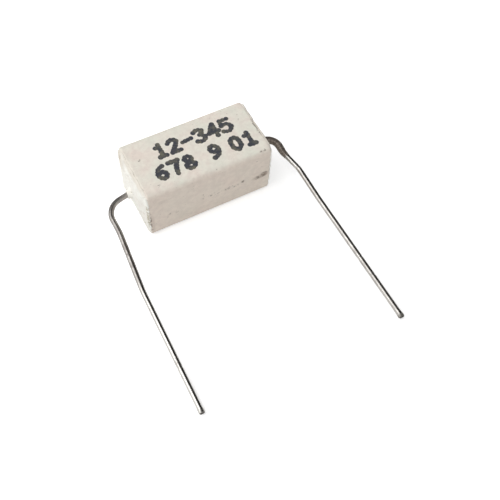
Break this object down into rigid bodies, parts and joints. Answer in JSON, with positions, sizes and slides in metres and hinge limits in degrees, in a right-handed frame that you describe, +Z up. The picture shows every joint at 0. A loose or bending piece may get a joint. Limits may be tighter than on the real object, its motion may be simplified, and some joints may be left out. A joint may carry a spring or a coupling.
{
  "type": "axial resistor",
  "caption": "Ceramic-cased wirewound axial resistor with cement-sealed ends and bent wire leads, for through-hole soldering.",
  "frame": {"origin": "middle of the case's flat underside, on the table", "axes": "+Z up from the table, X along the body from the left lead to the right lead, leads bent towards -Y"},
  "size_m": [0.031, 0.0374, 0.0096],
  "materials": {
    "case_ceramic": "matte",
    "cement": "matte",
    "core_ceramic": "matte",
    "resistance_alloy": "satin",
    "cap_steel": "satin",
    "tinned_wire": "satin",
    "print_ink": "matte"
  },
  "bodies": {
    "root": {"ceramic_case": "case_ceramic", "cement_filling": "cement", "core_rod": "core_ceramic", "resistance_winding": "resistance_alloy", "end_cap_left": "cap_steel", "end_cap_right": "cap_steel", "lead_left": "tinned_wire", "lead_right": "tinned_wire"}
  },
  "joints": []
}
